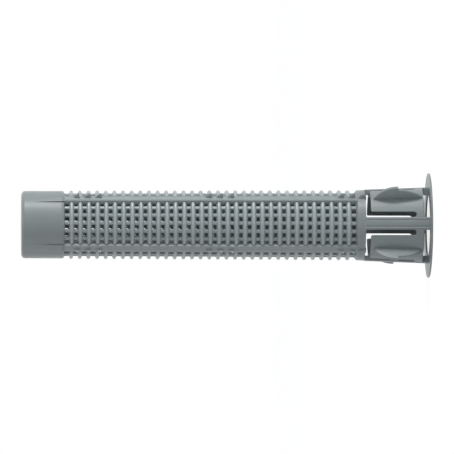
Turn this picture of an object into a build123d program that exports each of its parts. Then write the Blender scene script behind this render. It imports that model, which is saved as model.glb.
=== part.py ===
from build123d import *
import os
from math import asin, cos, degrees, radians, sin

# Injection anchor sleeve: a one-piece perforated sleeve for resin anchors in hollow brick.
# Millimetres. It stands on its mouth: z = 0 is the flange's outer face, the closed tip is on top.
# The four mesh panels face +X, +Y, -X and -Y, and the four rails lie between them at 45 degrees.

# Overall
LENGTH = 85.0                   # flange's outer face to the closed tip
QUARTERS = 4                    # panels, rails, tongues and spines
FIRST_RAIL = 45.0               # angle of the first rail, tongue and fin

# Mouth flange
FLANGE_DIAMETER = 21.8
FLANGE_THICKNESS = 0.35

# Collar, a slight cone between the flange and the mesh
COLLAR_TOP = 15.7               # height at which the mesh begins
COLLAR_TOP_DIAMETER = 14.58
COLLAR_FLARE = 0.57             # how much the outer radius grows down to the flange
COLLAR_WALL = 0.79              # at the collar's top
COLLAR_BEVEL = 0.3              # radial size of the bevel beside the mesh
COLLAR_BEVEL_LENGTH = 0.5
COLLAR_LAND = 0.8               # full wall left between the collar bore and the mesh

# Openings of the collar
SPINE_WIDTH = 2.66
WINDOW_HEIGHT = 1.45
HINGE_BAND = 1.33               # between a window and the foot of a tongue
TONGUE_LENGTH = 9.47
TONGUE_GAP = 1.04               # beyond a tongue's free end
TONGUE_SLOT = 1.0               # on both sides of a tongue
SLOT_FOOT_SIDES = 8             # flats of the round foot of a slot, counted all round

# Half-moon fins on the tongues
FIN_THICKNESS = 0.6
FIN_RADIUS = 10.6               # crest of the tip half, from the axis
FIN_STEP = 0.7                  # the mouth half is this much lower
FIN_FOOT = 0.2                  # height of the lower end above the window
FIN_TIP = 0.6                   # from the upper end to the tongue's free end
FIN_ROOT = 0.4                  # how far the fin reaches into the wall

# Mesh
MESH_STEP = 0.55                # from the collar's bore in to the mesh's bore
BAR_DEPTH = 0.65                # of the lengthwise bars
SLOTS_PER_QUARTER = 6
SLOT_WIDTH = 1.0
RIB_COUNT = 33
RIB_WIDTH = 0.7
RIB_DEPTH_MOUTH = 0.7           # of a rib outside the bars, next to the collar
RIB_DEPTH_TIP = 0.5             # the same, next to the cap
RIB_SIDES = 16                  # flats of a rib, whose corners lie on its true circle
RAIL_FRONT_SIDE = 0.68          # from a rail's middle to its side at the front and back panels
RAIL_FLANK_SIDE = 1.05          # the same, at the other two panels
RAIL_RISE = 0.05                # of the rail above the ribs

# Barbs on the rails
BARB_GROUPS = 3
BARBS_PER_GROUP = 3
BARB_FIRST = 10.4               # from the tip to the first barb
BARB_GROUP_PITCH = 27.45
BARB_PITCH = 2.3
BARB_LENGTH = 1.6
BARB_HEIGHT = 1.2
BARB_CREST = 0.25
BARB_THICKNESS = 0.5
BARB_ROOT = 0.5                 # how far a barb reaches into the rail or the collar

# Closed tip cap
CAP_LENGTH = 8.9
CAP_WALL = 1.05
CAP_END_WALL = 1.2
CAP_END_ROUND = 0.8
CAP_END_FLATS = 3               # of the rounded end
CAP_BEVEL = 0.25                # beside the mesh
RAIL_FADE = 3.0                 # from the tip to where the rails run out

# Heights worked out from the sizes above
window_top = FLANGE_THICKNESS + WINDOW_HEIGHT
tongue_foot = window_top + HINGE_BAND
tongue_end = tongue_foot + TONGUE_LENGTH
gap_top = tongue_end + TONGUE_GAP
fin_foot = window_top + FIN_FOOT
fin_tip = tongue_end - FIN_TIP
cap_bottom = LENGTH - CAP_LENGTH
mesh_length = cap_bottom - COLLAR_TOP
rib_pitch = (mesh_length + RIB_WIDTH) / (RIB_COUNT + 1)
rib_gap = rib_pitch - RIB_WIDTH

# Slots of the mesh, evenly spaced around it
slot_count = QUARTERS * SLOTS_PER_QUARTER
slot_pitch = 360 / slot_count

# Radii worked out from the sizes above: all but the flange's follow the collar's top
flange_radius = FLANGE_DIAMETER / 2
collar_top_radius = COLLAR_TOP_DIAMETER / 2
collar_mouth_radius = collar_top_radius + COLLAR_FLARE
collar_bore_radius = collar_top_radius - COLLAR_WALL
mesh_bore_radius = collar_bore_radius - MESH_STEP
bar_radius = mesh_bore_radius + BAR_DEPTH
cap_radius = mesh_bore_radius + CAP_WALL
clear_radius = flange_radius + 1.0      # cutters reach past every wall


def rib_radius(height):
    """Radius of the rib circle at a height: it narrows evenly from the collar to the cap."""
    share = (height - COLLAR_TOP) / mesh_length
    return bar_radius + RIB_DEPTH_MOUTH + (RIB_DEPTH_TIP - RIB_DEPTH_MOUTH) * share


def collar_radius(height):
    """Outer radius of the collar's cone at a height."""
    share = (height - FLANGE_THICKNESS) / (COLLAR_TOP - FLANGE_THICKNESS)
    return collar_mouth_radius + (collar_top_radius - collar_mouth_radius) * share


def radial_plane(angle):
    """Plane through the axis: its x runs outwards at the angle, its y runs up."""
    outwards = (cos(radians(angle)), sin(radians(angle)), 0)
    return Plane(origin=(0, 0, 0), x_dir=outwards, z_dir=(outwards[1], -outwards[0], 0))


def tangent_plane(angle):
    """Plane through the axis that faces outwards at the angle: its y runs up."""
    outwards = (cos(radians(angle)), sin(radians(angle)), 0)
    return Plane(origin=(0, 0, 0), x_dir=(-outwards[1], outwards[0], 0), z_dir=outwards)


def quarter_angles(first):
    """The four angles, a quarter turn apart, that begin with the first."""
    return [first + 360 / QUARTERS * quarter for quarter in range(QUARTERS)]


def half_moon(crest, middle, end):
    """Arc of a fin: flat at the crest over its middle, it meets the collar's wall at its end."""
    reach = abs(end - middle)
    drop = crest - collar_radius(end)
    arc_radius = (reach**2 + drop**2) / (2 * drop)
    half_turn = asin(reach / arc_radius) / 2
    halfway = (
        crest - arc_radius * (1 - cos(half_turn)),
        middle + (end - middle) / reach * arc_radius * sin(half_turn),
    )
    return ThreePointArc((crest, middle), halfway, (collar_radius(end), end))


def cap_end_corners():
    """Corners of the cap's rounded end: they lie on a quarter circle, evenly spaced."""
    corners = []
    for flat in range(CAP_END_FLATS + 1):
        turn = radians(90 * flat / CAP_END_FLATS)
        corners.append((
            cap_radius - CAP_END_ROUND * (1 - cos(turn)),
            LENGTH - CAP_END_ROUND * (1 - sin(turn)),
        ))
    return corners


def bar_outline():
    """Corners of the bar circle: one at each edge of each slot, so that bars have flat backs."""
    half_slot = degrees(asin(SLOT_WIDTH / 2 / bar_radius))
    corners = []
    for slot in range(slot_count):
        middle = (slot + 0.5) * slot_pitch
        for angle in (middle - half_slot, middle + half_slot):
            corners.append((bar_radius * cos(radians(angle)), bar_radius * sin(radians(angle))))
    return corners


with BuildPart() as collar:
    # Flange and cone, with a wide bore below the land that carries the mesh
    bevel_foot = COLLAR_TOP - COLLAR_BEVEL_LENGTH
    with BuildSketch(Plane.XZ):
        Polygon(
            (collar_bore_radius, 0),
            (flange_radius, 0),
            (flange_radius, FLANGE_THICKNESS),
            (collar_mouth_radius, FLANGE_THICKNESS),
            (collar_radius(bevel_foot), bevel_foot),
            (collar_top_radius - COLLAR_BEVEL, COLLAR_TOP),
            (mesh_bore_radius, COLLAR_TOP),
            (mesh_bore_radius, COLLAR_TOP - COLLAR_LAND),
            (collar_bore_radius, COLLAR_TOP - COLLAR_LAND),
            align=None,
        )
    revolve(axis=Axis.Z)

    # Windows beside the flange and gaps beyond the tongues, open between the spines
    for foot, height in ((FLANGE_THICKNESS, WINDOW_HEIGHT), (tongue_end, TONGUE_GAP)):
        with BuildSketch(Plane.XY.offset(foot)):
            Circle(clear_radius)
            Rectangle(2 * clear_radius, SPINE_WIDTH, mode=Mode.SUBTRACT)
            Rectangle(SPINE_WIDTH, 2 * clear_radius, mode=Mode.SUBTRACT)
        extrude(amount=height, mode=Mode.SUBTRACT)

    # Slots on both sides of each spine, with a round foot
    slot_middle = (SPINE_WIDTH + TONGUE_SLOT) / 2
    slot_length = gap_top - tongue_foot - TONGUE_SLOT / 2
    for angle in quarter_angles(0):
        with BuildSketch(tangent_plane(angle)):
            with Locations(*((side * slot_middle, tongue_foot + TONGUE_SLOT / 2) for side in (-1, 1))):
                RegularPolygon(
                    TONGUE_SLOT / 2,
                    SLOT_FOOT_SIDES,
                    major_radius=False,
                    rotation=180 / SLOT_FOOT_SIDES,
                )
                Rectangle(TONGUE_SLOT, slot_length, align=(Align.CENTER, Align.MIN))
    extrude(amount=clear_radius, mode=Mode.SUBTRACT)

    # Half-moon fins, higher on the half towards the tip
    fin_middle = (fin_foot + fin_tip) / 2
    for angle in quarter_angles(FIRST_RAIL):
        with BuildSketch(radial_plane(angle)):
            with BuildLine():
                tip_arc = half_moon(FIN_RADIUS, fin_middle, fin_tip)
                mouth_arc = half_moon(FIN_RADIUS - FIN_STEP, fin_middle, fin_foot)
                Line(tip_arc @ 0, mouth_arc @ 0)
                Polyline(
                    mouth_arc @ 1,
                    (collar_radius(fin_foot) - FIN_ROOT, fin_foot),
                    (collar_radius(fin_tip) - FIN_ROOT, fin_tip),
                    tip_arc @ 1,
                )
            make_face()
    extrude(amount=FIN_THICKNESS / 2, both=True)

with BuildPart() as mesh:
    # Lengthwise bars: a thin tube with a slot for each row of holes
    with BuildSketch(Plane.XY.offset(COLLAR_TOP)):
        Polygon(*bar_outline(), align=None)
        Circle(mesh_bore_radius, mode=Mode.SUBTRACT)
        with PolarLocations(bar_radius, slot_count, start_angle=slot_pitch / 2):
            Rectangle(bar_radius, SLOT_WIDTH, mode=Mode.SUBTRACT)
    extrude(amount=mesh_length)

    # Ring ribs around the bars
    for rib in range(RIB_COUNT):
        foot = COLLAR_TOP + rib_gap + rib * rib_pitch
        with BuildSketch(Plane.XY.offset(foot)):
            RegularPolygon(rib_radius(foot + RIB_WIDTH / 2), RIB_SIDES)
            Polygon(*bar_outline(), align=None, mode=Mode.SUBTRACT)
    extrude(amount=RIB_WIDTH)

with BuildPart() as rails:
    # Rails from the collar to the cap, which they fade into, wider towards the flank panels
    sides = (RAIL_FRONT_SIDE, RAIL_FLANK_SIDE)
    for quarter, angle in enumerate(quarter_angles(FIRST_RAIL)):
        with BuildSketch(radial_plane(angle).offset(-sides[quarter % 2])):
            Polygon(
                (mesh_bore_radius, COLLAR_TOP),
                (rib_radius(COLLAR_TOP) + RAIL_RISE, COLLAR_TOP),
                (rib_radius(cap_bottom) + RAIL_RISE, cap_bottom),
                (cap_radius, LENGTH - RAIL_FADE),
                (mesh_bore_radius, LENGTH - RAIL_FADE),
                align=None,
            )
        extrude(amount=sum(sides))

    # Barbs: each rises towards the mouth and drops off there
    for angle in quarter_angles(FIRST_RAIL):
        with BuildSketch(radial_plane(angle)):
            for barb in range(BARB_GROUPS * BARBS_PER_GROUP):
                group, place = divmod(barb, BARBS_PER_GROUP)
                thin_end = LENGTH - BARB_FIRST - group * BARB_GROUP_PITCH - place * BARB_PITCH
                steep_end = thin_end - BARB_LENGTH
                base = rib_radius(thin_end) + RAIL_RISE
                Polygon(
                    (base, thin_end),
                    (base + BARB_HEIGHT, steep_end + BARB_CREST),
                    (base + BARB_HEIGHT, steep_end),
                    (base - BARB_ROOT, steep_end),
                    (base - BARB_ROOT, thin_end),
                    align=None,
                )
    extrude(amount=BARB_THICKNESS / 2, both=True)

with BuildPart() as cap:
    # Cup that opens towards the mouth, with a rounded end
    with BuildSketch(Plane.XZ):
        Polygon(
            (0, LENGTH - CAP_END_WALL),
            (mesh_bore_radius, LENGTH - CAP_END_WALL),
            (mesh_bore_radius, cap_bottom),
            (cap_radius - CAP_BEVEL, cap_bottom),
            (cap_radius, cap_bottom + CAP_BEVEL),
            *cap_end_corners(),
            (0, LENGTH),
            align=None,
        )
    revolve(axis=Axis.Z)

with BuildPart() as sleeve:
    # All regions are one moulding
    add([collar.part, mesh.part, rails.part, cap.part])

sleeve.part.label = "anchor_sleeve"
os.makedirs("parts", exist_ok=True)
export_step(sleeve.part, "parts/anchor_sleeve.step")
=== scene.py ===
import bmesh
import bpy
import numpy as np
from mathutils import Matrix, Vector
from mathutils.geometry import delaunay_2d_cdt


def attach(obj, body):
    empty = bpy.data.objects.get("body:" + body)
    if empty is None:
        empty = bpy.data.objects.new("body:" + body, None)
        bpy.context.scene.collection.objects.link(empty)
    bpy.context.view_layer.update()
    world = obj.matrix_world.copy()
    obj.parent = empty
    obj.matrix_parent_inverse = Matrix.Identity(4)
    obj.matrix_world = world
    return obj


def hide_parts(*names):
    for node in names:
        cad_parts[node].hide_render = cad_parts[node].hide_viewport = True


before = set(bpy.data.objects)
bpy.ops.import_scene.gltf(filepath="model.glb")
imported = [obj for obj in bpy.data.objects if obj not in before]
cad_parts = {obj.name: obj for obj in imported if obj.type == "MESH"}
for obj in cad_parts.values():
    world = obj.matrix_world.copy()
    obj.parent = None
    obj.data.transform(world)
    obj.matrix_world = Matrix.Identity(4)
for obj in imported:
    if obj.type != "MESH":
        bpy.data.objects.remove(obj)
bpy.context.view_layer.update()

# Looks of the injection anchor sleeve. Lengths are written in millimetres and go into the
# meshes in metres. Each shape is a function of two parameters, or a profile carried along a path.

MM = 0.001
QUARTER = np.pi / 2
RAIL_ANGLES = np.pi / 4 + QUARTER * np.arange(4)
SPINE_ANGLES = QUARTER * np.arange(4)
FRONT_SIDES = (1, -1, 1, -1)    # which way round each rail its front or back panel lies

# Mouth flange
FLANGE_RADIUS = 10.9
FLANGE_THICKNESS = 0.35
RIM_ROUND = 0.12
MOUTH_RADIUS = 6.52
MOUTH_BEVEL = 0.12
FLANGE_LINE = 8.6               # circle of vertices about half-way across its two faces

# Collar sheet
COLLAR_TOP = 15.7
COLLAR_MOUTH_RADIUS = 7.86
COLLAR_TOP_RADIUS = 7.29
COLLAR_BORE_RADIUS = 6.5
COLLAR_LAND = 14.6              # where the bore starts to narrow to that of the mesh
COLLAR_LAND_RUN = 0.4
COLLAR_BEVEL = 0.48
COLLAR_BEVEL_LENGTH = 0.45
BEVEL_LEAD = 0.15               # share of the bevel's length that rounds its start, on each side
SHEET_FOOT = 0.05               # hidden in the flange
EDGE_ROUND = 0.13               # of every moulded edge of the sheet
SUPPORT = 0.09                  # narrow flat beside a rounded edge
MEAN_RADIUS = 7.5               # of the collar, for its flat picture
CIRCLE_STEPS = 144              # points on a level circle of the sheet
NET_PITCH = 0.62                # between the rows of points on the sheet
NET_MARGIN = 0.24               # from an opening's outline to the nearest of them

# Openings of the collar
HALF_SPINE = 1.33
WINDOW_FOOT = 0.34
WINDOW_TOP = 1.56
WINDOW_CORNER = 0.40
SLOT_FOOT = 3.13
SLOT_WIDTH = 1.1
TONGUE_END = 12.60
TONGUE_CORNER = 0.35
GAP_TOP = 13.64
GAP_CORNER = 0.22
LINE_SPACING = 0.45             # between points of a straight edge
PARALLEL_REACH = np.radians(19.0)   # how far from a spine the walls of its slots are parallel
PARALLEL_FADE = np.radians(26.0)    # and how far on they turn to the axis

# Mesh
MESH_BORE_RADIUS = 5.95
BAR_RADIUS_MOUTH = 6.70
BAR_RADIUS_TIP = 6.50
ROW_PITCH = np.radians(15.0)
ROW_WIDTH = 1.0
ROW_WIDTH_INSIDE = 0.80         # of the same rows at the bore
BAR_PLACES = 24                 # round the mesh; the four rails take every sixth
BAR_ROUND = 0.16
BAR_OVERLAP = 0.5               # hidden in the collar and in the cap
RIB_COUNT = 33
RIB_PITCH = 1.79706
RIB_FIRST = 17.147              # middle of the rib next to the collar
RIB_RADIUS_MOUTH = 7.30
RIB_RADIUS_TIP = 7.10
RIB_HALF_TOP = 0.32
RIB_HALF_TOP_GROWTH = 0.03      # added to it at the collar, falling to nothing at the cap
RIB_FLARE = 0.22                # how much wider a rib is at its foot, on each side
RIB_ROUND = 0.22
RIB_FOOT_DEPTH = 0.12           # hidden in the bars
RIB_END_RUN = 0.42              # length of a rib's rounded end
RIB_END_WIDTH = 0.42            # share of its width that is left there
RIB_END_DIP = 0.20              # how much lower the top is there
RIB_TO_RAIL = 0.04              # from that end to the rail's top edge
RIB_TAIL = 0.30                 # lower tail that runs on into the rail
RIB_TAIL_STEP = 0.03            # length over which it drops
RIB_TAIL_DIP = 0.15
RAIL_FRONT_SIDE = 0.64          # from the rail's middle to its top edge at the +Y and -Y panels
RAIL_DRAFT = 0.21               # how much wider the rail is there, for each unit of depth
RAIL_FOOT_DEPTH = 0.65          # of the foot of that side, below its top edge
RAIL_FLANK_SIDE = 1.05          # from the rail's middle to its side at the +X and -X panels
RAIL_EDGE = 0.20                # of the rounded edge on the flank side
RAIL_BEVEL = 0.04               # of the top edge on the front side
RAIL_RISE = 0.20                # of its top above the ribs
RAIL_DIP = 0.12                 # of its top where it runs out on the collar
RAIL_DIP_RUN = 0.4
PARTING_DEPTH = 0.035           # of the fine line along a rail's middle

# Tip cap
LENGTH = 85.0
CAP_FOOT = 76.1
CAP_RADIUS = 7.0
CAP_ROUND = 0.8
CAP_INSIDE = 83.8
CAP_RAIL_END = 82.9             # where a rail has faded out
CAP_RAIL_OFFSETS = (-1.13, -1.01, 0.60, 0.64, 0.71, 0.74, 0.77, 0.83)   # from a rail's middle
CAP_RAIL_STEPS = (0.0, 0.25, 0.25, 0.23, -0.18, -0.22, -0.22, 0.0)      # rail and groove there
CAP_PARTING_DEPTH = 0.03
CAP_PARTING_WIDTH = 0.07

# Barbs: the distances of their thin ends from the tip, and their shape. The ones that reach on to the
# collar have rises of their own.
BARB_THIN_ENDS = (10.4, 12.7, 15.0, 37.85, 40.15, 42.45, 65.3, 67.6, 69.9)
BARB_LENGTH = 1.6
BARB_SHARES = np.array([0.0, 0.12, 0.3, 0.5, 0.7, 0.84, 0.93, 1.0])     # of its length
BARB_RISES = np.array([0.0, 0.2, 0.48, 0.74, 0.93, 1.0, 0.97, 0.42])    # shares of its height there
COLLAR_BARB_RISES = 0.9 * np.array([0.0, 0.34, 0.68, 0.9, 1.0, 0.92, 0.7, 0.2])
BARB_HEIGHT = 1.08
BARB_ROUND = 0.30
BARB_FLANK_ROUND = 0.12
BARB_DRAFT = 0.24               # how far a barb's side wall leans back, for each unit of height
BARB_THIN_WIDTH = 0.6           # share of its width at the thin end
BARB_TAPER = 0.08               # how much its side wall moves with that share
BARB_FRONT = -0.08              # offset of a barb's side wall from its rail's middle
BARB_FLANK = -0.62              # offset of its other side
BARB_FOOT = 0.5                 # hidden in the rail

# Fins
FIN_FOOT = 1.8
FIN_TIP = 12.0
FIN_MIDDLE = 7.0
FIN_CREST = 10.6
FIN_STEP = 0.7
FIN_STEP_RUN = 0.05             # length of that step along the fin
FIN_HALF_THICKNESS = 0.30
FIN_FLARE = 0.05                # how much wider a fin is at its foot, on each side
FIN_ROUND = 0.12
FIN_FOOT_DEPTH = 0.4            # hidden in the tongue

# Beads along a spine: middle, half width, height, and the power that flattens the top
BEADS = ((1.0, 0.19, 0.10, 1.0), (-1.0, 0.19, 0.10, 1.0), (0.0, 0.58, 0.07, 0.5))
BEAD_HEIGHTS = np.array([0.25, 0.4, 1.3, 3.0, 5.0, 7.0, 9.0, 11.0, 12.5, 13.4, 13.75, 13.9])
BEAD_FADE = np.array([1.0] * 10 + [0.6, 0.0])     # shares of a bead's rise at those heights
BEAD_SINK = 0.03                # hidden in the spine's face
BEAD_FOOT_DEPTH = 0.25          # hidden in the spine

# Camera, with the size of the photograph and its focal length in pixels. Places are in metres.
PHOTO_PIXELS = 454.0
FOCAL_PIXELS = 6500.0
CAMERA_TOWARDS_TIP = np.radians(2.66)
CAMERA_BELOW = np.radians(3.3)
CAMERA_ROLL = np.radians(-0.04)
CAMERA_DISTANCE = 1.353
CAMERA_AIM = (-0.00041, 0.0, 0.0422)

# Light and floor. The aim of the lights is in metres.
LIGHT_AIM = Vector((0.0, 0.0, 0.042))
WORLD_LIGHT = 0.38
FLOOR_GLOW = 0.82
FLOOR_RADIUS = 600.0
FLOOR_DROP = 0.02               # below the mouth

# Grey of the plastic, and painted light: how much lighter the base colour of the thin parts is made,
# to stand in for the light that their rounded edges catch
GREY = (0.254, 0.292, 0.296)
RIB_PAINTED_LIGHT = 1.55
BAR_PAINTED_LIGHT = 1.35
RAIL_PAINTED_LIGHT = 1.12
SHARP_FROM = 38.0               # degrees between two faces from which their edge looks sharp
SHEET_SHARP_FROM = 50.0


# Measures of the sleeve

def up_the_mesh(height):
    """Share of the way from the collar to the cap."""
    return (height - COLLAR_TOP) / (CAP_FOOT - COLLAR_TOP)


def rib_radius(height):
    """Radius over the ribs: it falls in a straight line from the collar to the cap."""
    return RIB_RADIUS_MOUTH + (RIB_RADIUS_TIP - RIB_RADIUS_MOUTH) * up_the_mesh(height)


def bar_radius(height):
    """Radius over the lengthwise bars: it falls in a straight line too."""
    return BAR_RADIUS_MOUTH + (BAR_RADIUS_TIP - BAR_RADIUS_MOUTH) * up_the_mesh(height)


def cone_radius(height):
    """Outer radius of the collar's cone, without its bevel: it falls in a straight line from the
    flange to the mesh."""
    share = (height - FLANGE_THICKNESS) / (COLLAR_TOP - FLANGE_THICKNESS)
    return COLLAR_MOUTH_RADIUS + (COLLAR_TOP_RADIUS - COLLAR_MOUTH_RADIUS) * share


def collar_radius(height):
    """Outer radius of the collar: its cone, less the bevel beside the mesh. The bevel falls in a
    straight line, and a short parabola rounds the corner where it starts."""
    share = np.clip((height - COLLAR_TOP) / COLLAR_BEVEL_LENGTH + 1, -BEVEL_LEAD, 1)
    rounded = (share + BEVEL_LEAD) ** 2 / (4 * BEVEL_LEAD)
    bevel = np.where(share < BEVEL_LEAD, rounded, share)
    return cone_radius(height) - COLLAR_BEVEL * bevel


def collar_inner_radius(height):
    """Bore of the collar: wide up to the land, where it narrows in a straight line to that of the
    mesh."""
    land = np.clip((height - COLLAR_LAND) / COLLAR_LAND_RUN, 0, 1)
    return COLLAR_BORE_RADIUS + (MESH_BORE_RADIUS - COLLAR_BORE_RADIUS) * land


def smooth(share):
    """Smooth step: three times the square less twice the cube of the share, kept in 0 to 1."""
    share = np.clip(share, 0, 1)
    return share * share * (3 - 2 * share)


# Surfaces

def polar(radius, angle, height):
    """Points at radius times the cosine and sine of the angle, at the height."""
    radius, angle, height = np.broadcast_arrays(radius, angle, height)
    return np.stack([radius * np.cos(angle), radius * np.sin(angle), height], axis=-1)


def beside(angle, outwards, sideways, height):
    """Points beside the axis: outwards along the angle, and sideways at right angles to it."""
    outwards, sideways, height = np.broadcast_arrays(outwards, sideways, height)
    across = outwards * np.cos(angle) - sideways * np.sin(angle)
    along = outwards * np.sin(angle) + sideways * np.cos(angle)
    return np.stack([across, along, height], axis=-1)


def grid_faces(rows, columns):
    """Quads between neighbours of a grid whose columns run round and close."""
    row, column = np.meshgrid(np.arange(rows - 1), np.arange(columns), indexing="ij")
    following = (column + 1) % columns
    corners = [
        row * columns + column,
        row * columns + following,
        (row + 1) * columns + following,
        (row + 1) * columns + column,
    ]
    return np.stack(corners, axis=-1).reshape(-1, 4)


def fan_faces(ring, centre):
    """Triangles from a ring of vertices to one centre."""
    return np.stack([ring, np.roll(ring, -1), np.full_like(ring, centre)], axis=-1)


def closed_loft(rings):
    """Closed shell through an array of rings, indexed by ring, point and axis, with a fan of
    triangles on both ends."""
    rows, columns = rings.shape[:2]
    ends = np.stack([rings[0].mean(axis=0), rings[-1].mean(axis=0)])
    points = np.concatenate([rings.reshape(-1, 3), ends])
    first = np.arange(columns)
    last = first + (rows - 1) * columns
    triangles = np.concatenate([
        fan_faces(first[::-1], rows * columns),
        fan_faces(last, rows * columns + 1),
    ])
    return outwards_facing(points, [grid_faces(rows, columns), triangles])


def closed_torus(rings):
    """Closed shell through rings, the last of which is joined to the first: both parameters run
    round."""
    rows, columns = rings.shape[:2]
    wrapped = grid_faces(rows + 1, columns) % (rows * columns)
    return outwards_facing(rings.reshape(-1, 3), [wrapped])


def outwards_facing(points, faces):
    """The shell with its faces turned outwards: its signed volume, the sum of the triple products
    of its triangles' corners, is positive."""
    volume = 0.0
    for group in faces:
        for corner in range(1, group.shape[1] - 1):
            a = points[group[:, 0]]
            b = points[group[:, corner]]
            c = points[group[:, corner + 1]]
            volume += np.einsum("ij,ij->", a, np.cross(b, c))
    if volume < 0:
        faces = [group[:, ::-1] for group in faces]
    return points, faces


def piece(name, shells, material, sharp_from=SHARP_FROM):
    """Object of several closed shells in millimetres, at the origin, that rides on the sleeve."""
    points, faces, count = [], [], 0
    for shell_points, groups in shells:
        points.append(shell_points)
        for group in groups:
            faces.extend((group + count).tolist())
        count += len(shell_points)
    mesh = bpy.data.meshes.new(name)
    mesh.from_pydata((np.concatenate(points) * MM).tolist(), [], faces)
    mesh.update()
    mesh.shade_smooth()
    mesh.set_sharp_from_angle(angle=np.radians(sharp_from))
    mesh.materials.append(material)
    made = bpy.data.objects.new(name, mesh)
    bpy.context.scene.collection.objects.link(made)
    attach(made, "root")
    return made


# Pieces of the mesh

def rounded_top(half_foot, half_top, foot, top, corner):
    """Profile that stands on its foot and narrows in a straight line to a top whose two corners are
    quarter circles, as an array of widths and one of heights."""
    turn = np.linspace(0, np.pi / 2, 4)
    side = half_top - corner + corner * np.cos(turn)
    rise = top - corner + corner * np.sin(turn)
    width = np.concatenate([[half_foot], side, -side[::-1], [-half_foot]])
    height = np.concatenate([[foot], rise, rise[::-1], [foot]])
    return width, height


def lengthwise_bars():
    """Twenty bars: a profile with rounded outer corners, carried straight up. Its sides lie along
    the rows of holes."""
    shells = []
    heights = np.array([COLLAR_TOP - BAR_OVERLAP, 30.0, 45.0, 60.0, CAP_FOOT + BAR_OVERLAP])
    inner = MESH_BORE_RADIUS
    half_inner = inner * np.sin(ROW_PITCH / 2 - np.arcsin(ROW_WIDTH_INSIDE / 2 / inner))
    for position in range(BAR_PLACES):
        angle = position * ROW_PITCH
        if position % 6 == 3:
            continue
        rings = []
        for height in heights:
            outer = bar_radius(height)
            half_outer = outer * np.sin(ROW_PITCH / 2 - np.arcsin(ROW_WIDTH / 2 / outer))
            sideways, out = rounded_top(half_inner, half_outer, inner, outer, BAR_ROUND)
            rings.append(beside(angle, out, sideways, height))
        shells.append(closed_loft(np.array(rings)))
    return shells


def ring_ribs():
    """Ribs between the rails: a profile with a rounded top, carried along an arc. Near a rail its
    width shrinks as the height of a circle does towards its side, and its top dips with the square
    of the way along that end. A lower tail runs on into the rail."""
    shells = []
    for rib in range(RIB_COUNT):
        height = RIB_FIRST + rib * RIB_PITCH
        outer = rib_radius(height)
        foot = bar_radius(height) - RIB_FOOT_DEPTH
        half_top = RIB_HALF_TOP + RIB_HALF_TOP_GROWTH * (1 - up_the_mesh(height))
        width, rise = rounded_top(half_top + RIB_FLARE, half_top, foot, outer, RIB_ROUND)
        share = (rise - foot) / (outer - foot)
        for quarter, middle_angle in enumerate(SPINE_ANGLES):
            rail_side = (RAIL_FLANK_SIDE, RAIL_FRONT_SIDE)[quarter % 2]
            run = np.pi / 4 * outer - rail_side - RIB_TO_RAIL
            middle = np.linspace(0, 1, 10)[:-1] * (run - RIB_END_RUN)
            near_end = run - RIB_END_RUN * (1 - np.array([0.0, 0.12, 0.35, 0.65, 1.0]))
            tail = [run + RIB_TAIL_STEP, run + RIB_TAIL]
            half_path = np.concatenate([middle, near_end, tail])
            path = np.concatenate([-half_path[:0:-1], half_path])
            inset = np.clip((run - np.abs(path)) / RIB_END_RUN, 0, 1)
            narrow = RIB_END_WIDTH + (1 - RIB_END_WIDTH) * np.sqrt(1 - (1 - inset) ** 2)
            beyond = np.clip((np.abs(path) - run) / RIB_TAIL_STEP, 0, 1)
            dip = RIB_END_DIP * (1 - inset) ** 2 + RIB_TAIL_DIP * beyond
            radius = rise[None, :] - dip[:, None] * share[None, :]
            angle = (path / outer)[:, None] + middle_angle
            heights = height + width[None, :] * narrow[:, None]
            shells.append(closed_loft(polar(radius, angle, heights)))
    return shells


def rail_foot(width, bars):
    """Lower half of one side of a rail's profile, as offsets and radii: it starts at the bore and
    ends beside the outer face of the bars."""
    return [
        (width - 0.30, np.full_like(bars, MESH_BORE_RADIUS)),
        (width - 0.16, bars - 0.25),
        (width, bars - 0.08),
        (width, bars + 0.05),
    ]


def rail_top(top, offset, below=0.0):
    """Point of a rail at a sideways offset: its radius is the root of the top radius squared less
    the offset squared, less a depth below the top."""
    return offset, np.sqrt(top ** 2 - offset ** 2) - below


def rails():
    """Four rails: a profile carried up the mesh. Towards the front or back panel it has a flat wall
    with a little draft, towards the flank panel a rounded edge. A fine parting line runs along its
    middle."""
    shells = []
    heights = np.concatenate([
        [COLLAR_TOP - 0.45, COLLAR_TOP - 0.2],
        np.linspace(COLLAR_TOP, CAP_FOOT, 15),
        [CAP_FOOT + 0.35],
    ])
    top = rib_radius(heights) + RAIL_RISE
    top -= RAIL_DIP * smooth((COLLAR_TOP - heights) / RAIL_DIP_RUN)
    top[-1] = CAP_RADIUS - 0.1
    bars = bar_radius(heights)
    front = rail_foot(RAIL_FRONT_SIDE + RAIL_FOOT_DEPTH * RAIL_DRAFT, bars)[:-1]
    for below in (0.42, 0.10):
        front.append(rail_top(top, RAIL_FRONT_SIDE + RAIL_DRAFT * below, below))
    front.append(rail_top(top, RAIL_FRONT_SIDE, RAIL_BEVEL))
    front.append(rail_top(top, RAIL_FRONT_SIDE - RAIL_BEVEL))
    front.append(rail_top(top, 0.25))
    flank = rail_foot(RAIL_FLANK_SIDE, bars)
    for turn in np.linspace(0, np.pi / 2, 5):
        offset = RAIL_FLANK_SIDE - RAIL_EDGE * (1 - np.cos(turn))
        flank.append(rail_top(top, offset, RAIL_EDGE * (1 - np.sin(turn))))
    flank.append(rail_top(top, 0.45))
    middle = [rail_top(top, 0.10), rail_top(top, 0.04, 0.025)]
    front += middle
    flank += middle
    parting = [(0.0, top - PARTING_DEPTH)]
    loop = front + parting + [(-offset, radius) for offset, radius in flank[::-1]]
    offsets = np.array([offset for offset, _ in loop])
    radii = np.stack([radius for _, radius in loop], axis=1)
    for angle, front_side in zip(RAIL_ANGLES, FRONT_SIDES):
        rings = beside(angle, radii, front_side * offsets[None, :], heights[:, None])
        shells.append(closed_loft(rings))
    return shells


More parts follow.
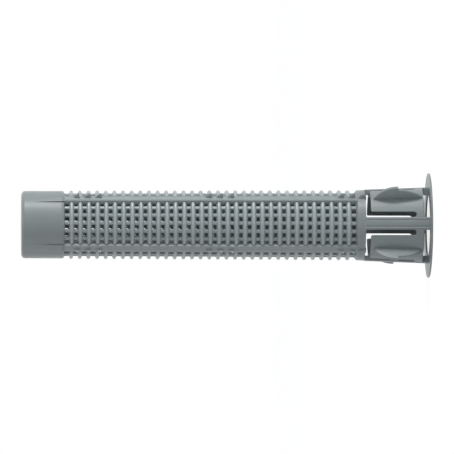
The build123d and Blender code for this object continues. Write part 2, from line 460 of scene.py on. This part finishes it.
def barb_profile(foot, rise, width):
    """Cross-section of a barb as offsets and radii: a side wall that leans back from the front or
    back panel, and a level top that reaches to the flank side. Each corner is a quarter ellipse."""
    turn = np.linspace(0, np.pi / 2, 6)
    corner = min(BARB_ROUND, 0.5 * rise + 0.02)
    small = min(BARB_FLANK_ROUND, 0.5 * rise + 0.02)
    front = BARB_FRONT + BARB_TAPER * (width - 1)
    flank = BARB_FLANK * width
    offsets = np.concatenate([
        [front + 0.03],
        front - BARB_DRAFT * rise - corner * (1 - np.cos(turn)) * width,
        (flank + small * (1 - np.cos(turn)) * width)[::-1],
        [flank - 0.03],
    ])
    radii = np.concatenate([
        [foot - BARB_FOOT],
        foot + rise - corner * (1 - np.sin(turn)),
        (foot + rise - small * (1 - np.sin(turn)))[::-1],
        [foot - BARB_FOOT],
    ])
    return offsets, radii


def rail_barbs():
    """Barbs: their cross-section is carried along the rail. Its height follows a row of shares that
    grow in a convex curve towards the mouth and drop off there within a tenth of its length."""
    shells = []
    for from_tip in BARB_THIN_ENDS:
        thin_end = LENGTH - from_tip
        on_collar = thin_end - BARB_LENGTH < COLLAR_TOP
        heights = thin_end - BARB_SHARES * BARB_LENGTH
        base = rib_radius(heights)
        rise = (COLLAR_BARB_RISES if on_collar else BARB_RISES) * BARB_HEIGHT
        width = BARB_THIN_WIDTH + (1 - BARB_THIN_WIDTH) * np.clip(BARB_SHARES * 3, 0, 1)
        for angle, front_side in zip(RAIL_ANGLES, FRONT_SIDES):
            rings = []
            for height, foot, lift, wide in zip(heights, base, rise, width):
                offsets, radii = barb_profile(foot, lift, wide)
                rings.append(beside(angle, radii, front_side * offsets, height))
            shells.append(closed_loft(np.array(rings)))
    return shells


# Tip cap

def cap_angles():
    """Angles round the cap, closest together beside the edges of the rails, and for each the
    distance from its rail's middle, positive towards the front or back panel."""
    front = [0, 0.05, 0.12, 0.3, 0.45, 0.60, 0.64, 0.71, 0.74, 0.77, 0.83, 0.9, 1.0, 1.25]
    flank = [0.05, 0.12, 0.4, 0.7, 0.9, 0.98, 1.03, 1.08, 1.13, 1.2, 1.35]
    far = np.pi / 4 * CAP_RADIUS
    front_side = np.concatenate([front, np.linspace(front[-1], far, 12)[1:]])
    flank_side = np.concatenate([flank, np.linspace(flank[-1], far, 12)[1:-1]])
    signed = np.concatenate([-flank_side[::-1], front_side[:-1]])
    angles, offsets = [], []
    for angle, way in zip(RAIL_ANGLES, FRONT_SIDES):
        angles.append(angle + way * signed / CAP_RADIUS)
        offsets.append(signed)
    for quarters, offset in (([1, 3], far), ([0, 2], -far)):
        angles.append(QUARTER * np.array(quarters))
        offsets.append(np.full(2, offset))
    angles = np.concatenate(angles) % (4 * QUARTER)
    order = np.argsort(angles)
    return angles[order], np.concatenate(offsets)[order]


def tip_cap():
    """Cup turned about the axis: straight walls and a quarter circle at the end. The four rails fade
    in towards the mesh in a straight line until they stand proud, each with a narrow groove along its
    front side. A fine parting line, a bell curve across, runs along its middle."""
    turn = np.linspace(0, np.pi / 2, 9)
    end_radius = CAP_RADIUS - CAP_ROUND + CAP_ROUND * np.cos(turn)
    end_height = LENGTH - CAP_ROUND + CAP_ROUND * np.sin(turn)
    wall = np.linspace(CAP_FOOT + 0.3, LENGTH - CAP_ROUND, 14)[:-1]
    bore = MESH_BORE_RADIUS
    radius = np.concatenate([
        [3.0, 5.65, 5.86, bore, bore, bore + 0.12, 6.60, 6.72, 6.90],
        np.full(len(wall), CAP_RADIUS),
        end_radius,
        [4.2, 2.0, 1.1, 0.8, 0.4],
    ])
    height = np.concatenate([
        [CAP_INSIDE, CAP_INSIDE, CAP_INSIDE - 0.08, CAP_INSIDE - 0.3, CAP_FOOT + 0.12, CAP_FOOT],
        [CAP_FOOT, CAP_FOOT + 0.02, CAP_FOOT + 0.14],
        wall,
        end_height,
        [LENGTH, LENGTH, LENGTH - 0.02, LENGTH - 0.10, LENGTH - 0.12],
    ])
    angle, offset = cap_angles()
    outside = (radius > 6.55) & (height < LENGTH - CAP_ROUND + 0.01)
    faded_in = (CAP_RAIL_END - height) / (CAP_RAIL_END - CAP_FOOT)
    toward_mesh = np.clip(faded_in, 0, 1) * outside
    step = np.interp(offset, CAP_RAIL_OFFSETS, CAP_RAIL_STEPS)
    parting = CAP_PARTING_DEPTH * np.exp(-(offset / CAP_PARTING_WIDTH) ** 2)
    radii = (
        radius[:, None]
        + toward_mesh[:, None] * step[None, :]
        - smooth(toward_mesh * 2)[:, None] * parting[None, :]
    )
    return [closed_loft(polar(radii, angle[None, :], height[:, None]))]


# Collar

def arc(centre, radius, start, end, steps):
    """Points of an arc in the plane of sideways offset and height, between two angles in degrees."""
    turn = np.radians(np.linspace(start, end, steps))
    return np.array(centre) + radius * np.stack([np.cos(turn), np.sin(turn)], axis=-1)


def straight(start, end):
    """Points evenly spaced on a straight line, without its two ends."""
    start, end = np.array(start), np.array(end)
    steps = max(2, int(np.ceil(np.linalg.norm(end - start) / LINE_SPACING)) + 1)
    return start + (end - start) * np.linspace(0, 1, steps)[1:-1, None]


def from_spine(points):
    """Offsets beside a spine's middle plane as angles: the arc sine of the offset over the
    collar's radius."""
    angle = np.arcsin(points[:, 0] / cone_radius(points[:, 1]))
    return np.stack([angle, points[:, 1]], axis=-1)


def level_line(start_angle, end_angle, height, steps):
    """Points at one height between two angles, without the first."""
    return at_level(np.linspace(start_angle, end_angle, steps)[1:], height)


def at_level(angle, height):
    """Points at one height and several angles."""
    return np.stack([angle, np.full_like(angle, height)], axis=-1)


def mirrored(half):
    """The half outline and its mirror image at 45 degrees, as one loop."""
    other = half[::-1].copy()
    other[:, 0] = QUARTER - other[:, 0]
    return np.concatenate([half, other[1:-1]])


def tongue_opening():
    """Outline of the gap and the two slots round a tongue, as angle and height."""
    side = HALF_SPINE
    near = side + SLOT_WIDTH
    slot_round = SLOT_WIDTH / 2
    slot_low = SLOT_FOOT + slot_round
    gap_high = GAP_TOP - GAP_CORNER
    tongue_high = TONGUE_END - TONGUE_CORNER
    gap_corner = from_spine(arc((side + GAP_CORNER, gap_high), GAP_CORNER, 90, 180, 5))
    slot = from_spine(np.concatenate([
        straight((side, gap_high), (side, slot_low)),
        arc((side + slot_round, slot_low), slot_round, 180, 360, 13),
        straight((near, slot_low), (near, tongue_high)),
        arc((near + TONGUE_CORNER, tongue_high), TONGUE_CORNER, 180, 90, 6),
    ]))
    top = level_line(np.pi / 4, gap_corner[0, 0], GAP_TOP, 12)[:-1]
    start = np.array([[np.pi / 4, GAP_TOP]])
    end = level_line(slot[-1, 0], np.pi / 4, TONGUE_END, 9)
    return mirrored(np.concatenate([start, top, gap_corner, slot, end]))


def window_opening():
    """Outline of a window beside the flange, as angle and height."""
    side = HALF_SPINE
    high = WINDOW_TOP - WINDOW_CORNER
    edge = from_spine(np.concatenate([
        [[side, WINDOW_FOOT]],
        straight((side, WINDOW_FOOT), (side, high)),
        arc((side + WINDOW_CORNER, high), WINDOW_CORNER, 180, 90, 6),
    ]))
    foot = level_line(np.pi / 4, edge[0, 0], WINDOW_FOOT, 12)[:-1]
    start = np.array([[np.pi / 4, WINDOW_FOOT]])
    top = level_line(edge[-1, 0], np.pi / 4, WINDOW_TOP, 12)
    return mirrored(np.concatenate([start, foot, edge, top]))


def set_back(outline, distance):
    """The outline moved into the wall: each point goes along the normal of the chord between its
    neighbours."""
    scale = cone_radius(outline[:, 1])
    flat = np.stack([outline[:, 0] * scale.mean(), outline[:, 1]], axis=-1)
    chord = np.roll(flat, -1, axis=0) - np.roll(flat, 1, axis=0)
    normal = np.stack([chord[:, 1], -chord[:, 0]], axis=-1)
    normal /= np.linalg.norm(normal, axis=1)[:, None]
    following = np.roll(flat, -1, axis=0)
    area = np.sum(flat[:, 0] * following[:, 1] - following[:, 0] * flat[:, 1])
    if area < 0:
        normal = -normal
    moved = outline.copy()
    moved[:, 0] += normal[:, 0] * distance / scale
    moved[:, 1] += normal[:, 1] * distance
    return moved


def flat_map(angle, height):
    """Flat picture of the sheet that keeps its angles: the radius is the exponential of the height
    over the collar's mean radius."""
    radius = np.exp(height / MEAN_RADIUS)
    return np.stack([radius * np.cos(angle), radius * np.sin(angle)], axis=-1)


def inside_loop(loop, points):
    """Whether points lie inside a loop, by counting how often a line from each point crosses it."""
    start, end = loop[None], np.roll(loop, -1, axis=0)[None]
    across, up = points[:, 0:1], points[:, 1:2]
    crosses = (start[..., 1] > up) != (end[..., 1] > up)
    run = np.where(end[..., 1] == start[..., 1], 1.0, end[..., 1] - start[..., 1])
    meets = start[..., 0] + (up - start[..., 1]) * (end[..., 0] - start[..., 0]) / run
    return (crosses & (across < meets)).sum(axis=1) % 2 == 1


def inner_angle(angle, height):
    """Angle of the inner wall under a point. Beside a spine the walls of the slots are parallel: the
    angle is the arc sine of the outer angle's sine times the outer over the inner radius. Half-way
    between two spines it is the outer angle, and a smooth step blends the two."""
    spine = np.round(angle / QUARTER) * QUARTER
    off = angle - spine
    ratio = cone_radius(height) / collar_inner_radius(height)
    parallel = np.arcsin(np.clip(ratio * np.sin(off), -0.999, 0.999))
    weight = 1 - smooth((np.abs(off) - PARALLEL_REACH) / PARALLEL_FADE)
    return spine + off + (parallel - off) * weight


def flat_loop(loop):
    """A loop of angles and heights in the flat picture."""
    return flat_map(loop[:, 0], loop[:, 1])


def sheet_net(circle, opening_loops):
    """Staggered rows of points on the collar's wall, every other row half a step on, without those
    in an opening or close to its outline."""
    net = []
    for row, height in enumerate(np.arange(0.75, 14.4, NET_PITCH)):
        net.append(at_level(circle + (row % 2) * np.pi / CIRCLE_STEPS, height))
    net = np.concatenate(net)
    place = polar(MEAN_RADIUS, net[:, 0], net[:, 1])
    outlines = np.concatenate(opening_loops)
    target = polar(MEAN_RADIUS, outlines[:, 0], outlines[:, 1])
    gap = np.sqrt(((place[:, None] - target[None]) ** 2).sum(axis=-1)).min(axis=1)
    keep = gap > NET_MARGIN
    for loop in opening_loops:
        keep &= ~inside_loop(flat_loop(loop), flat_loop(net))
    return net[keep]


def sheet_triangles(sheet, loops, starts, holes):
    """Triangles between the points of the flat picture, along all loops and without those that lie
    in a hole."""
    edges = []
    for start, loop in zip(starts, loops):
        ring = start + np.arange(len(loop))
        edges.extend(np.stack([ring, np.roll(ring, -1)], axis=-1).tolist())
    flat = flat_loop(sheet)
    _, _, triangles, sources, _, _ = delaunay_2d_cdt(
        [Vector(point) for point in flat.tolist()], edges, [], 0, 1e-7)
    source = np.array([ids[0] for ids in sources])
    triangles = source[np.array([list(corners) for corners in triangles])]
    middle = flat[triangles].mean(axis=1)
    keep = np.ones(len(triangles), bool)
    for loop in holes:
        keep &= ~inside_loop(flat_loop(loop), middle)
    return triangles[keep]


def collar_sheet():
    """One sheet wrapped on the collar's cone. Its faces are a triangulation of the wall between the
    openings. A quarter-round strip runs along each edge, and a straight wall joins it to the bore."""
    openings = []
    for spine in SPINE_ANGLES:
        for outline in (window_opening(), tongue_opening()):
            openings.append(outline + np.array([spine, 0]))
    circle = np.linspace(0, 2 * np.pi, CIRCLE_STEPS, endpoint=False)
    levels = [SHEET_FOOT, COLLAR_LAND, COLLAR_LAND + COLLAR_LAND_RUN]
    for share in (1 + BEVEL_LEAD, 1.0, 1 - BEVEL_LEAD, 0.0):
        levels.append(COLLAR_TOP - share * COLLAR_BEVEL_LENGTH)
    opening_loops = [set_back(outline, EDGE_ROUND + SUPPORT) for outline in openings]
    level_loops = [at_level(circle, level) for level in levels]
    loops = opening_loops + level_loops
    starts = np.cumsum([0] + [len(loop) for loop in loops])
    sheet = np.concatenate(loops + [sheet_net(circle, opening_loops)])
    triangles = sheet_triangles(sheet, loops, starts, opening_loops + level_loops[:1])

    # Outer and inner face
    count = len(sheet)
    outer = polar(collar_radius(sheet[:, 1]), sheet[:, 0], sheet[:, 1])
    inner_sheet = sheet.copy()
    for outline, start in zip(openings, starts):
        inner_sheet[start:start + len(outline)] = outline
    inner_heights = inner_sheet[:, 1]
    inner = polar(
        collar_inner_radius(inner_heights),
        inner_angle(inner_sheet[:, 0], inner_heights),
        inner_heights,
    )
    points = [outer, inner]
    faces = [triangles, triangles[:, ::-1] + count]

    # Rounded strips and straight walls of the openings, then the walls at the foot and at the top
    total = 2 * count
    for outline, start in zip(openings, starts):
        size = len(outline)
        previous = start + np.arange(size)
        for turn in np.linspace(0, np.pi / 2, 4):
            moved = set_back(outline, EDGE_ROUND * (1 - np.sin(turn)))
            radius = collar_radius(moved[:, 1]) - EDGE_ROUND * (1 - np.cos(turn))
            points.append(polar(radius, moved[:, 0], moved[:, 1]))
            ring = total + np.arange(size)
            faces.append(strip_faces(previous, ring))
            previous = ring
            total += size
        faces.append(strip_faces(previous, start + count + np.arange(size)))
    for level_start in (starts[len(openings)], starts[len(loops) - 1]):
        ring = level_start + np.arange(CIRCLE_STEPS)
        faces.append(strip_faces(ring, ring + count))
    return np.concatenate(points), faces


def strip_faces(ring, other):
    """Quads between two rings of equally many vertices."""
    return np.stack([ring, np.roll(ring, -1), np.roll(other, -1), other], axis=-1)


def facing_recalculated(shell):
    """The closed shell with all its faces turned the same way, outwards."""
    points, groups = shell
    mesh = bpy.data.meshes.new("sheet_draft")
    mesh.from_pydata(points.tolist(), [], [face for group in groups for face in group.tolist()])
    work = bmesh.new()
    work.from_mesh(mesh)
    bmesh.ops.recalc_face_normals(work, faces=work.faces)
    turned = []
    for corners in (3, 4):
        faces = [face for face in work.faces if len(face.verts) == corners]
        turned.append(np.array([[vertex.index for vertex in face.verts] for face in faces]))
    work.free()
    bpy.data.meshes.remove(mesh)
    return points, turned


def spine_beads():
    """Fine lengthwise beads on each spine: a low rounded profile carried up the cone, one along each
    edge and a broad flat one in the middle. The profile's height is a power of the sine, and its
    width the same power of the cosine, of an angle that runs through half a turn."""
    shells = []
    turn = np.linspace(0, np.pi, 9)
    surface = cone_radius(BEAD_HEIGHTS)[:, None]
    for spine in SPINE_ANGLES:
        for middle, half, rise, power in BEADS:
            sideways = middle + half * np.sign(np.cos(turn)) * np.abs(np.cos(turn)) ** power
            lift = np.sin(turn) ** power
            ground = np.sqrt(surface ** 2 - sideways[None, :] ** 2) - BEAD_SINK
            out = ground + (rise + BEAD_SINK) * lift[None, :] * BEAD_FADE[:, None]
            foot_side = np.array([middle - half, middle + half])
            foot = np.sqrt(surface ** 2 - foot_side[None, :] ** 2) - BEAD_FOOT_DEPTH
            rings = beside(
                spine,
                np.concatenate([out, foot], axis=1),
                np.concatenate([sideways, foot_side])[None, :],
                BEAD_HEIGHTS[:, None],
            )
            shells.append(closed_loft(rings))
    return shells


def fin_crest(height):
    """Crest of a fin: an arc of a circle on each side of its middle, lower by a step on the mouth
    side. Its radius is the sum of the squares of half the chord and the rise, over twice the rise."""
    tip_side = height >= FIN_MIDDLE
    end = np.where(tip_side, FIN_TIP, FIN_FOOT)
    crest = np.where(tip_side, FIN_CREST, FIN_CREST - FIN_STEP)
    reach = np.abs(end - FIN_MIDDLE)
    drop = crest - cone_radius(end)
    radius = (reach ** 2 + drop ** 2) / (2 * drop)
    return crest - radius + np.sqrt(np.maximum(radius ** 2 - (height - FIN_MIDDLE) ** 2, 0))


def tongue_fins():
    """Four fins: a profile with a rounded top, carried up the tongue. Its top follows the two arcs of
    the crest."""
    shells = []
    half = FIN_HALF_THICKNESS
    lower = np.linspace(FIN_FOOT, FIN_MIDDLE - FIN_STEP_RUN, 22)
    upper = np.linspace(FIN_MIDDLE, FIN_TIP, 22)
    heights = np.concatenate([lower, upper])
    crest = fin_crest(heights)
    for angle in RAIL_ANGLES:
        rings = []
        for height, top in zip(heights, crest):
            ground = cone_radius(height)
            foot = ground - FIN_FOOT_DEPTH
            top = max(top, ground - 0.15)
            sideways, out = rounded_top(half + FIN_FLARE, half, foot, top, FIN_ROUND)
            rings.append(beside(angle, out, sideways, height))
        shells.append(closed_loft(np.array(rings)))
    return shells


def mouth_flange():
    """Flat ring turned about the axis, with two quarter circles at its rim and a narrow bevel at the
    mouth."""
    top = FLANGE_THICKNESS
    turn = np.linspace(-np.pi / 2, np.pi / 2, 9)
    rim_radius = FLANGE_RADIUS - RIM_ROUND + RIM_ROUND * np.cos(turn)
    rim_middle = np.where(turn < 0, RIM_ROUND, top - RIM_ROUND)
    rim_height = rim_middle + RIM_ROUND * np.sin(turn)
    front = [MOUTH_RADIUS + MOUTH_BEVEL, FLANGE_LINE]
    back = [FLANGE_LINE, MOUTH_RADIUS, MOUTH_RADIUS]
    radius = np.concatenate([front, rim_radius, back])
    height = np.concatenate([[0.0, 0.0], rim_height, [top, top, MOUTH_BEVEL]])
    angle = np.linspace(0, 2 * np.pi, 160, endpoint=False)
    return [closed_torus(polar(radius[None, :], angle[:, None], height[None, :]))]


# Moulded plastic

def link(tree, start, end):
    """Join of an output socket to an input socket."""
    tree.links.new(start, end)


def noise(tree, coordinates, scale, detail, roughness=0.5):
    """Noise of the object's coordinates; a scale of 1000 gives features of about a millimetre."""
    node = tree.nodes.new("ShaderNodeTexNoise")
    node.inputs["Scale"].default_value = scale
    node.inputs["Detail"].default_value = detail
    node.inputs["Roughness"].default_value = roughness
    link(tree, coordinates, node.inputs["Vector"])
    return node.outputs["Fac"]


def mapped(tree, value, low, high):
    """A noise value between 0.3 and 0.7 spread in a straight line over a range."""
    node = tree.nodes.new("ShaderNodeMapRange")
    node.inputs["From Min"].default_value = 0.3
    node.inputs["From Max"].default_value = 0.7
    node.inputs["To Min"].default_value = low
    node.inputs["To Max"].default_value = high
    link(tree, value, node.inputs["Value"])
    return node.outputs["Result"]


def moulded_plastic(name, painted_light_factor, roughness):
    """Grey moulded plastic: cloudy colour with faint lengthwise flow streaks, a fine spark-eroded
    grain in the bump and a slightly uneven gloss."""
    material = bpy.data.materials.new(name)
    material.use_nodes = True
    tree = material.node_tree
    shader = tree.nodes["Principled BSDF"]
    place = tree.nodes.new("ShaderNodeTexCoord").outputs["Object"]
    stretch = tree.nodes.new("ShaderNodeMapping")
    stretch.inputs["Scale"].default_value = (1.0, 1.0, 0.12)
    link(tree, place, stretch.inputs["Vector"])
    clouds = noise(tree, place, 260.0, 5.0, 0.6)
    streaks = noise(tree, stretch.outputs["Vector"], 1500.0, 3.0)
    grain = noise(tree, place, 5200.0, 3.0)
    waves = noise(tree, place, 700.0, 2.0)

    blend = tree.nodes.new("ShaderNodeMix")
    blend.data_type = "RGBA"
    # Painted light where the factor is above 1: the grey is scaled lighter to stand in for light
    # caught by thin parts
    for socket, shade in (("A", 0.955), ("B", 1.045)):
        colour = tuple(shade * (painted_light_factor * part) for part in GREY)
        blend.inputs[socket].default_value = colour + (1.0,)
    both = tree.nodes.new("ShaderNodeMath")
    both.operation = "ADD"
    link(tree, mapped(tree, clouds, 0.0, 0.6), both.inputs[0])
    link(tree, mapped(tree, streaks, 0.0, 0.4), both.inputs[1])
    link(tree, both.outputs["Value"], blend.inputs["Factor"])
    link(tree, blend.outputs["Result"], shader.inputs["Base Color"])
    link(tree, mapped(tree, waves, roughness - 0.04, roughness + 0.05), shader.inputs["Roughness"])

    normal = None
    for height, strength, distance in ((grain, 0.35, 0.012), (waves, 0.4, 0.03)):
        bump = tree.nodes.new("ShaderNodeBump")
        bump.inputs["Strength"].default_value = strength
        bump.inputs["Distance"].default_value = distance * MM
        link(tree, height, bump.inputs["Height"])
        if normal:
            link(tree, normal, bump.inputs["Normal"])
        normal = bump.outputs["Normal"]
    link(tree, normal, shader.inputs["Normal"])
    shader.inputs["IOR"].default_value = 1.5
    shader.inputs["Specular IOR Level"].default_value = 0.45
    return material


# Studio

def mixed_by_ray(tree, for_light, for_sight):
    """Mix of two shaders: one for the light that falls on the sleeve, the other for what the camera
    and the sleeve's reflections see."""
    rays = tree.nodes.new("ShaderNodeLightPath")
    seen = tree.nodes.new("ShaderNodeMath")
    also = tree.nodes.new("ShaderNodeMath")
    seen.operation = "MAXIMUM"
    also.operation = "MAXIMUM"
    link(tree, rays.outputs["Is Camera Ray"], seen.inputs[0])
    link(tree, rays.outputs["Is Glossy Ray"], seen.inputs[1])
    link(tree, seen.outputs["Value"], also.inputs[0])
    link(tree, rays.outputs["Is Transmission Ray"], also.inputs[1])
    mix = tree.nodes.new("ShaderNodeMixShader")
    link(tree, also.outputs["Value"], mix.inputs["Fac"])
    link(tree, for_light, mix.inputs[1])
    link(tree, for_sight, mix.inputs[2])
    return mix.outputs["Shader"]


def studio_floor():
    """Round pale floor under the mouth: white to the camera, and it keeps the sleeve's shadow."""
    material = bpy.data.materials.new("pale_floor")
    material.use_nodes = True
    tree = material.node_tree
    tree.nodes.clear()
    plain = tree.nodes.new("ShaderNodeBsdfDiffuse")
    plain.inputs["Color"].default_value = (0.75, 0.75, 0.75, 1.0)
    shadowed = tree.nodes.new("ShaderNodeBsdfDiffuse")
    shadowed.inputs["Color"].default_value = (0.42, 0.42, 0.42, 1.0)
    glow = tree.nodes.new("ShaderNodeEmission")
    glow.inputs["Color"].default_value = (1.0, 1.0, 1.0, 1.0)
    glow.inputs["Strength"].default_value = FLOOR_GLOW
    lit = tree.nodes.new("ShaderNodeAddShader")
    link(tree, shadowed.outputs["BSDF"], lit.inputs[0])
    link(tree, glow.outputs["Emission"], lit.inputs[1])
    output = tree.nodes.new("ShaderNodeOutputMaterial")
    mixed = mixed_by_ray(tree, plain.outputs["BSDF"], lit.outputs["Shader"])
    link(tree, mixed, output.inputs["Surface"])

    angle = np.linspace(0, 2 * np.pi, 96, endpoint=False)
    rim = polar(FLOOR_RADIUS, angle, -FLOOR_DROP) * MM
    mesh = bpy.data.meshes.new("floor")
    mesh.from_pydata(rim.tolist(), [], [list(range(len(rim)))])
    mesh.materials.append(material)
    floor = bpy.data.objects.new("floor", mesh)
    bpy.context.scene.collection.objects.link(floor)


def studio_world():
    """World that is white behind the sleeve and a dimmer white as the light all round it."""
    world = bpy.data.worlds.new("studio")
    bpy.context.scene.world = world
    world.use_nodes = True
    tree = world.node_tree
    ground = tree.nodes["Background"]
    ground.inputs["Color"].default_value = (0.96, 0.98, 1.0, 1.0)
    ground.inputs["Strength"].default_value = WORLD_LIGHT
    white = tree.nodes.new("ShaderNodeBackground")
    white.inputs["Color"].default_value = (1.0, 1.0, 1.0, 1.0)
    white.inputs["Strength"].default_value = 1.0
    mixed = mixed_by_ray(tree, ground.outputs["Background"], white.outputs["Background"])
    link(tree, mixed, tree.nodes["World Output"].inputs["Surface"])


def softbox(name, place, width, height, power):
    """Area light that faces the middle of the sleeve."""
    data = bpy.data.lights.new(name, "AREA")
    data.shape = "RECTANGLE"
    data.size = width
    data.size_y = height
    data.energy = power
    made = bpy.data.objects.new(name, data)
    bpy.context.scene.collection.objects.link(made)
    made.location = place
    direction = LIGHT_AIM - Vector(place)
    made.rotation_mode = "QUATERNION"
    made.rotation_quaternion = direction.to_track_quat("-Z", "Y")


def photo_camera():
    """Long lens on the -Y side, turned so that the tip points left. It stands a little towards the
    tip and a little below the sleeve's middle plane."""
    back = Vector((
        -np.sin(CAMERA_BELOW) * np.cos(CAMERA_TOWARDS_TIP),
        -np.cos(CAMERA_BELOW) * np.cos(CAMERA_TOWARDS_TIP),
        np.sin(CAMERA_TOWARDS_TIP),
    ))
    up = Vector((1.0, 0.0, 0.0))
    right = up.cross(back).normalized()
    up = back.cross(right).normalized()
    right, up = (
        right * np.cos(CAMERA_ROLL) + up * np.sin(CAMERA_ROLL),
        up * np.cos(CAMERA_ROLL) - right * np.sin(CAMERA_ROLL),
    )
    data = bpy.data.cameras.new("photo_camera")
    data.sensor_width = 36.0
    data.lens = data.sensor_width * FOCAL_PIXELS / PHOTO_PIXELS
    data.clip_start = 0.05
    data.clip_end = 20.0
    made = bpy.data.objects.new("photo_camera", data)
    bpy.context.scene.collection.objects.link(made)
    turn = Matrix((right, up, back)).transposed()
    place = Vector(CAMERA_AIM) + back * CAMERA_DISTANCE
    made.matrix_world = Matrix.Translation(place) @ turn.to_4x4()
    bpy.context.scene.camera = made


bpy.context.scene.view_settings.view_transform = "Standard"
photo_camera()
studio_floor()
studio_world()
softbox("key_softbox", (0.449, -0.170, 0.06), 0.12, 0.40, 1.78)
softbox("front_softbox", (0.360, -0.315, 0.05), 0.14, 0.40, 0.3)
softbox("fill_softbox", (-0.46, -0.10, 0.05), 0.50, 0.50, 0.5)
softbox("tip_softbox", (0.10, -0.12, 0.55), 0.30, 0.30, 0.25)

plastic = moulded_plastic("grey_moulded_plastic", 1.0, 0.34)
# Painted light: ribs, bars and rails get lighter copies of the grey plastic, their base colour raised
# to stand in for the light their edges catch
rib_painted_light_plastic = moulded_plastic("grey_rib_painted_light_plastic", RIB_PAINTED_LIGHT, 0.25)
bar_painted_light_plastic = moulded_plastic("grey_bar_painted_light_plastic", BAR_PAINTED_LIGHT, 0.25)
rail_painted_light_plastic = moulded_plastic("grey_rail_painted_light_plastic", RAIL_PAINTED_LIGHT, 0.28)

ribs = piece("ring_ribs", ring_ribs(), rib_painted_light_plastic)
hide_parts("anchor_sleeve")
piece("lengthwise_bars", lengthwise_bars(), bar_painted_light_plastic)
piece("rails", rails(), rail_painted_light_plastic)
piece("rail_barbs", rail_barbs(), rail_painted_light_plastic)
piece("tip_cap", tip_cap(), plastic)
piece("collar_sheet", [facing_recalculated(collar_sheet())], plastic, SHEET_SHARP_FROM)
piece("spine_beads", spine_beads(), plastic, SHEET_SHARP_FROM)
piece("tongue_fins", tongue_fins(), plastic)
piece("mouth_flange", mouth_flange(), plastic)
